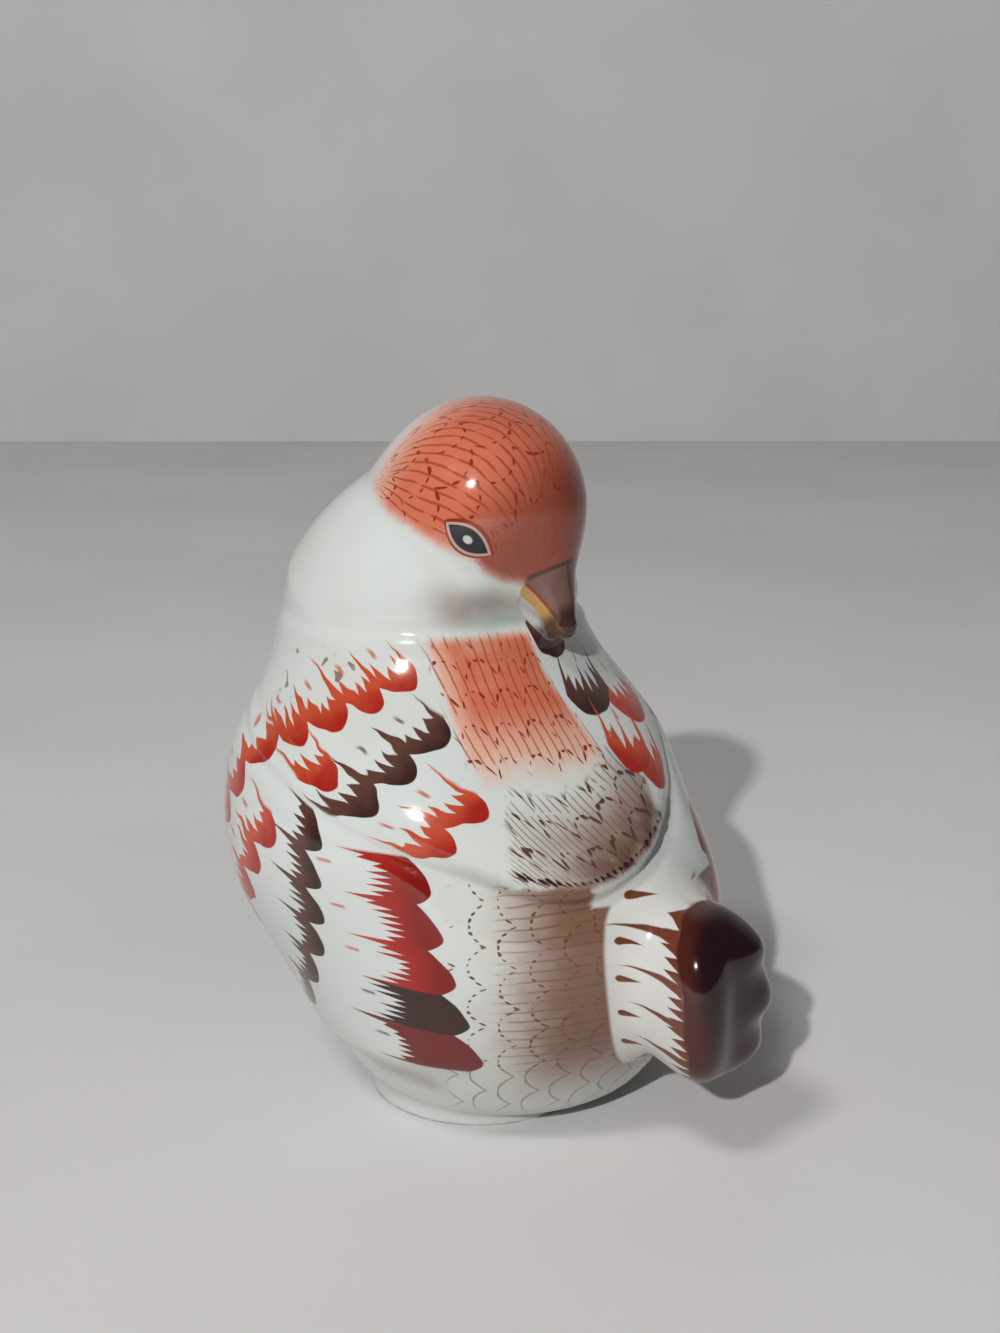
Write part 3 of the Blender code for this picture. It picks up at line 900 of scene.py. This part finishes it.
def small_feathers(paint, at):
    """Rows of small feathers down both edges of the cape and over the front of the folded wings."""
    here = {"left": at.left, "right": 1.0 - at.left, "both": 1.0}
    for side, tips, rise, first, last, pitch, lean, deep, light in SMALL_ROWS:
        along = after(at.row, paint)
        depth = tips + (along - first) * rise - after(at.fall, paint)
        strokes = max(4.0, round(pitch / SMALL_STROKE))
        row = feathers(along, depth, pitch, first, strokes, *SMALL_SHAPE, lean, abs(tips) * 700)
        loose = flicks(along, depth, pitch, first, *SMALL_FLICK, lean)
        tone = over(deep, light, fade(depth + at.patch * 4.0 * MM, 2.5 * MM, 6.5 * MM))
        inside = between(along - depth * lean, first, last, 0.2 * MM) * here[side]
        paint = over(paint, tone, most(row, loose * 0.8) * inside)
    return paint


def wing_turn(at):
    return size_of(at.turn - WING_MIDDLE) + WING_MIDDLE


def dark_feathers(paint, at):
    """A column of short dark brown feathers down each folded wing, pointing to the tail."""
    low = most(DARK_BEND_AT - at.z, 0.0)
    line = low * low * DARK_BEND + DARK_TURN
    depth = (wing_turn(at) - line) * WING_RADIUS + at.wobble * 0.8 * MM
    dark = feathers(at.z, depth, DARK_PITCH, DARK_START, DARK_STROKES, *DARK_SHAPE, DARK_LEAN, DARK_SEED)
    column = at.z - depth * DARK_LEAN
    tone = over(FEATHER_DARK, FEATHER_BROWN, fade(depth + at.patch * 3.0 * MM, 2.0 * MM, 6.0 * MM))
    tone = over(tone, FEATHER_GREY, fade(at.z, 22.0 * MM, 15.0 * MM) * 0.6)
    return over(paint, tone, dark * between(column, *DARK_ENDS, 0.2 * MM))


def under_wing_band(paint, at):
    """A soft grey-brown band just under the wing's lower edge, below the last long feather."""
    turn = wing_turn(at)
    # a soft grey-brown band just under the wing's raised lower edge
    under_wing = between(at.z - turn * 3.5 * MM, 4.5 * MM, 7.0 * MM, 1.4 * MM) * between(turn, 0.75, 1.2, 0.08)
    return over(paint, UNDER_WING_GREY, under_wing * 0.7)


def long_feathers(paint, at):
    """A column of long red feathers down each folded wing, with a brown one near its foot."""
    line = (at.z - LONG_FOOT) * LONG_SLOPE + LONG_TURN
    depth = (wing_turn(at) - line) * WING_RADIUS + at.wobble * 0.8 * MM
    solid = fade(at.z, 28.0 * MM, 16.0 * MM) * 4.5 * MM + 5.0 * MM
    shape = (*LONG_TIP, solid, *LONG_EDGE, LONG_LEAN, LONG_SEED)
    long = feathers(at.z, depth, LONG_PITCH, LONG_START, LONG_STROKES, *shape)
    loose = flicks(at.z, depth, LONG_PITCH, LONG_START, *LONG_FLICK, LONG_LEAN)
    column = at.z - depth * LONG_LEAN
    long = most(long, loose * 0.7) * between(column, *LONG_ENDS, 0.2 * MM)
    red = over(LONG_RED, FEATHER_RED, fade(depth + at.cloud * 6.0 * MM, 4.0 * MM, 10.0 * MM))
    red = over(red, FEATHER_ORANGE, fade(depth + at.wobble * 3.0 * MM, 6.0 * MM, 13.0 * MM))
    tone = over(red, FEATHER_DARK, between(column, *LONG_BROWN, 0.15 * MM))
    tone = over(tone, LOW_RED, fade(column, 17.2 * MM, 17.0 * MM))
    return over(paint, tone, long)


def cap_paint(paint, at):
    """The salmon cap, its brush lines running in an arch down to the beak, with dots across them."""
    x, y, z = at.turned(HEAD_AT, HEAD_TURN, HEAD_DIP)
    side = size_of(x)
    after_eye = fade(y, 8.5 * MM, 12.5 * MM)
    edge = z + 0.7 * MM + after_eye * 1.7 * MM + at.wobble * 1.2 * MM
    front = fade(edge, *CAP_EDGE) * fade(at.z, *CAP_ABOVE)
    cap = front * fade(y + at.cloud * 3.0 * MM, *CAP_BACK)
    paint = over(paint, SALMON_PALE, cap * 0.9)
    paint = over(paint, SALMON, cap * fade(y, -10.0 * MM, -2.0 * MM) * fade(at.cloud, 0.0, 0.45))
    high = fade(z - x * 0.5, 3.0 * MM, 17.0 * MM) * 0.3
    ahead = fade(y - (x + z) * 0.12, 2.5 * MM, 10.5 * MM) * 0.7
    paint = over(paint, CAP_DEEP, cap * (high + ahead))
    beside = side + y * CAP_ARCH_NARROWING - CAP_ARCH_HALF
    above = z + y * CAP_ARCH_FALL + CAP_ARCH_FOOT - y * y * CAP_ARCH_BEND
    lean = angle(beside, above)
    across = lean * CAP_ARCH_RADIUS + at.wobble * 0.5 * MM
    lines = hatch(across, at.patch, *CAP_HATCH)
    reach = front * fade(edge, 0.0, 0.8 * MM) * fade(y + at.patch * 3.0 * MM, -6.0 * MM, -3.5 * MM)
    paint = over(paint, HATCH_RED, lines * reach)
    arc = scales(across, y + at.wobble * 1.0 * MM, *CAP_SCALES)
    spots = dots(arc, across, at.patch, *CAP_DOTS)
    return over(paint, DOT_RED, spots * front * fade(y, -10.0 * MM, -8.0 * MM))


def eye_paint(paint, at):
    """An almond eye on each side of the head: lid line, pale ring, black and a pale dot."""
    x, y, z = at.turned(HEAD_AT, HEAD_TURN, HEAD_DIP)
    around = angle(y, size_of(x)) * HEAD_RADII[0] - EYE_AT[0]
    up = z - EYE_AT[1]
    u = around * math.cos(EYE_TILT) - up * math.sin(EYE_TILT)
    v = around * math.sin(EYE_TILT) + up * math.cos(EYE_TILT)
    on_head = fade(y, *EYE_AHEAD) * fade(at.z, *EYE_ABOVE)

    def almond(long, high):
        return size_of(v) / high + u * u / (long * long)

    outer = almond(EYE_LONG, EYE_HIGH)
    lid = fade(v, -0.2 * MM, 0.6 * MM) * 0.14
    paint = over(paint, DOT_RED, fade(outer, lid + 1.17, lid + 1.1) * on_head)
    paint = over(paint, EYE_RING, fade(outer, 1.0, 0.94) * on_head)
    paint = over(paint, EYE_BLACK, fade(almond(0.85 * EYE_LONG, 0.78 * EYE_HIGH), 1.04, 0.96) * on_head)
    dot = root_of(u * u + v * v * 1.5)
    return over(paint, EYE_DOT, fade(dot, 0.68 * MM, 0.5 * MM) * on_head)


def beak_paint(paint, at):
    """A mauve-brown beak with a dark root line and tip, and a yellow lower edge; the underside is painted
    shade, a greyed white like the shaded throat.
    """
    x, y, z = at.turned(HEAD_AT, HEAD_TURN, HEAD_DIP)
    from_middle = x - 2.0 * MM
    root = y - z * 0.5 + from_middle * from_middle * (0.025 / MM)
    axis = Vector(BEAK_TIP) - Vector(BEAK_ROOT)
    long = axis.length
    axis.normalize()
    off = [place - start for place, start in zip((x, y, z), BEAK_ROOT)]
    out = off[0] * axis[0] + off[1] * axis[1] + off[2] * axis[2]
    wide = root_of(off[0] * off[0] + off[1] * off[1] + off[2] * off[2] - out * out)
    radius = BEAK_RADII[0] - out * ((BEAK_RADII[0] - BEAK_RADII[1]) / long)
    on_beak = fade(wide - radius, 0.9 * MM, 0.6 * MM)
    jaw = z + y * JAW_SLOPE - JAW_LOW
    beak = fade(root, *BEAK_START) * on_beak
    tip = fade(root, *BEAK_TIP_START)
    paint = over(paint, BEAK_MAUVE, beak)
    ridge = fade(size_of(x + 0.8 * MM), 0.5 * MM, 0.15 * MM)
    ridge = ridge + fade(size_of(x + 3.0 * MM), 0.5 * MM, 0.2 * MM) * 0.6
    paint = over(paint, BEAK_DARK, ridge * beak * 0.45)
    lower = jaw - (y - 12.4 * MM) * 0.1
    edge = fade(y, 11.7 * MM, 12.2 * MM) * on_beak
    paint = over(paint, BEAK_YELLOW, fade(lower, 1.7 * MM, 1.6 * MM) * fade(jaw, 0.1 * MM, 0.25 * MM) * edge)
    # painted shade: the beak's underside in greyed white, like the shaded throat
    paint = over(paint, SHADED_THROAT_GREY, fade(jaw, 0.2 * MM, 0.1 * MM) * edge)
    paint = over(paint, DOT_RED, fade(size_of(lower - 1.85 * MM), 0.34 * MM, 0.16 * MM) * beak * 0.8)
    paint = over(paint, BEAK_DARK, tip * beak * 0.9)
    line = fade(size_of(root - 15.1 * MM), 0.36 * MM, 0.16 * MM) * fade(jaw, 0.9 * MM, 1.3 * MM)
    return over(paint, BEAK_DARK, line * on_beak * 0.7)


def layer_group(layer):
    """One layer of paint as a node group, which takes the paint below it and gives what is seen."""
    group = bpy.data.node_groups.new(layer.__name__, "ShaderNodeTree")
    group.interface.new_socket("below", in_out="INPUT", socket_type="NodeSocketColor")
    group.interface.new_socket("above", in_out="OUTPUT", socket_type="NodeSocketColor")
    Value.tree = group
    below = Value(group.nodes.new("NodeGroupInput").outputs[0])
    above = layer(below, Places(below))
    group.links.new(above.socket, group.nodes.new("NodeGroupOutput").inputs[0])
    return group


def bare_porcelain(below, at):
    return over(PORCELAIN, PORCELAIN_WARM, fade(noise(at.point, WARM_SCALE, 2.0), 0.35, 0.75))


def painted_porcelain():
    material = bpy.data.materials.new("painted_porcelain")
    material.use_nodes = True
    tree = material.node_tree
    shader = tree.nodes["Principled BSDF"]
    paint = None
    for layer in PAINT_LAYERS:
        coat = tree.nodes.new("ShaderNodeGroup")
        coat.node_tree = layer_group(layer)
        if paint:
            tree.links.new(paint, coat.inputs[0])
        paint = coat.outputs[0]
    tree.links.new(paint, shader.inputs["Base Color"])
    shader.inputs["Roughness"].default_value = GLAZE_ROUGH
    shader.inputs["Coat Weight"].default_value = GLAZE_COAT
    shader.inputs["Coat Roughness"].default_value = COAT_ROUGH
    Value.tree = tree
    place = Value(tree.nodes.new("ShaderNodeTexCoord").outputs["Object"])
    relief = tree.nodes.new("ShaderNodeBump")
    relief.inputs["Strength"].default_value = RELIEF_STRENGTH
    relief.inputs["Distance"].default_value = RELIEF_DEPTH
    plug(noise(place, RELIEF_SCALE, 1.0), relief.inputs["Height"])
    tree.links.new(relief.outputs["Normal"], shader.inputs["Normal"])
    return material


PAINT_LAYERS = (
    bare_porcelain, cheek_shade_and_reflection, neck_flecks, mantle_paint, cape_end_paint, rump_paint, tail_paint,
    small_feathers, dark_feathers, under_wing_band, long_feathers, cap_paint, eye_paint, beak_paint,
)


def bird():
    skin = fused("painted_bird", outer_lumps(), MESH_STEP)
    drawn_onto(skin, form, MESH_STEP, 16)
    cavity = fused("cavity", trunk_lumps(WALL), CAVITY_STEP)
    drawn_onto(cavity, cavity_form, CAVITY_STEP, 12)
    for tool, label in ((floor_cutter(), "Flat base"), (cavity, "Inside"), (vent_cutter(), "Vent hole")):
        cut(skin, tool, label)
        bpy.context.view_layer.objects.active = skin
        bpy.ops.object.modifier_apply(modifier=label)
        bpy.data.objects.remove(tool)
    skin.data.polygons.foreach_set("use_smooth", [True] * len(skin.data.polygons))
    skin.data.materials.clear()
    skin.data.materials.append(painted_porcelain())
    return skin


def plain(name, shade):
    """A matt surface, faintly mottled, for the floor and the backdrop."""
    material = bpy.data.materials.new(name)
    material.use_nodes = True
    Value.tree = material.node_tree
    shader = Value.tree.nodes["Principled BSDF"]
    here = Value(Value.tree.nodes.new("ShaderNodeTexCoord").outputs["Object"])
    dimmed = [SHEET_DIM * channel for channel in shade]
    tone = over(shade, dimmed, fade(noise(here, SHEET_MOTTLE, 2.0), 0.3, 0.7))
    Value.tree.links.new(tone.socket, shader.inputs["Base Color"])
    shader.inputs["Roughness"].default_value = SHEET_ROUGH
    return material


def sheet(name, at, turn, tilt, shade):
    bpy.ops.mesh.primitive_plane_add(size=SHEET_SIZE, location=at, rotation=(tilt, 0, turn))
    cloth = bpy.context.object
    cloth.name = name
    cloth.data.materials.append(plain("pale_" + name, shade))


def studio():
    sheet("floor", (0, 0, 0), 0.0, 0.0, FLOOR_SHADE)
    behind = Vector((-math.sin(VIEW_TURN), math.cos(VIEW_TURN), 0)) * BACKDROP_DISTANCE
    sheet("backdrop", behind, VIEW_TURN, math.radians(90), BACKDROP_SHADE)


def away(turn, tilt):
    """The direction of a camera or lamp, from its turn round the upright axis and its height angle."""
    return Vector((math.sin(turn) * math.cos(tilt), -math.cos(turn) * math.cos(tilt), math.sin(tilt)))


def camera():
    back = away(VIEW_TURN, VIEW_TILT)
    right = Vector((0, 0, 1)).cross(back).normalized()
    up = back.cross(right)
    tilt = math.atan(VIEW_DROP)
    turn = math.atan(VIEW_SHIFT)
    tilted = back * math.cos(tilt) - up * math.sin(tilt)
    top = up * math.cos(tilt) + back * math.sin(tilt)
    eye = tilted * math.cos(turn) + right * math.sin(turn)
    across = right * math.cos(turn) - tilted * math.sin(turn)
    lens = bpy.data.cameras.new("camera")
    lens.sensor_fit = "VERTICAL"
    lens.sensor_height = SENSOR_HEIGHT
    lens.lens = LENS
    lens.clip_start = CLIP_START
    viewer = bpy.data.objects.new("camera", lens)
    bpy.context.scene.collection.objects.link(viewer)
    axes = Matrix((across, top, eye)).transposed().to_4x4()
    viewer.matrix_world = Matrix.Translation(back * VIEW_DISTANCE) @ axes
    bpy.context.scene.camera = viewer


def lamp(name, turn, tilt, distance, wide, power):
    direction = away(math.radians(turn), math.radians(tilt))
    light = bpy.data.lights.new(name, "AREA")
    light.size = wide
    light.energy = power
    item = bpy.data.objects.new(name, light)
    bpy.context.scene.collection.objects.link(item)
    item.location = Vector(LIT) + direction * distance
    item.rotation_euler = direction.to_track_quat("Z", "Y").to_euler()
    return item


def lights():
    bpy.context.scene.view_settings.view_transform = "Standard"
    world = bpy.data.worlds.new("studio")
    world.use_nodes = True
    background = world.node_tree.nodes["Background"]
    background.inputs["Color"].default_value = WORLD_COLOUR
    background.inputs["Strength"].default_value = WORLD_STRENGTH
    bpy.context.scene.world = world
    lamp("key", *KEY_LAMP)
    shade = lamp("shade_key", *SHADE_LAMP)
    fill = lamp("fill", *FILL_LAMP)
    for soft in (shade, fill):
        soft.visible_glossy = False


def main():
    painted = bird()
    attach(painted, "root")
    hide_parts("bird_figurine")
    studio()
    camera()
    lights()


main()
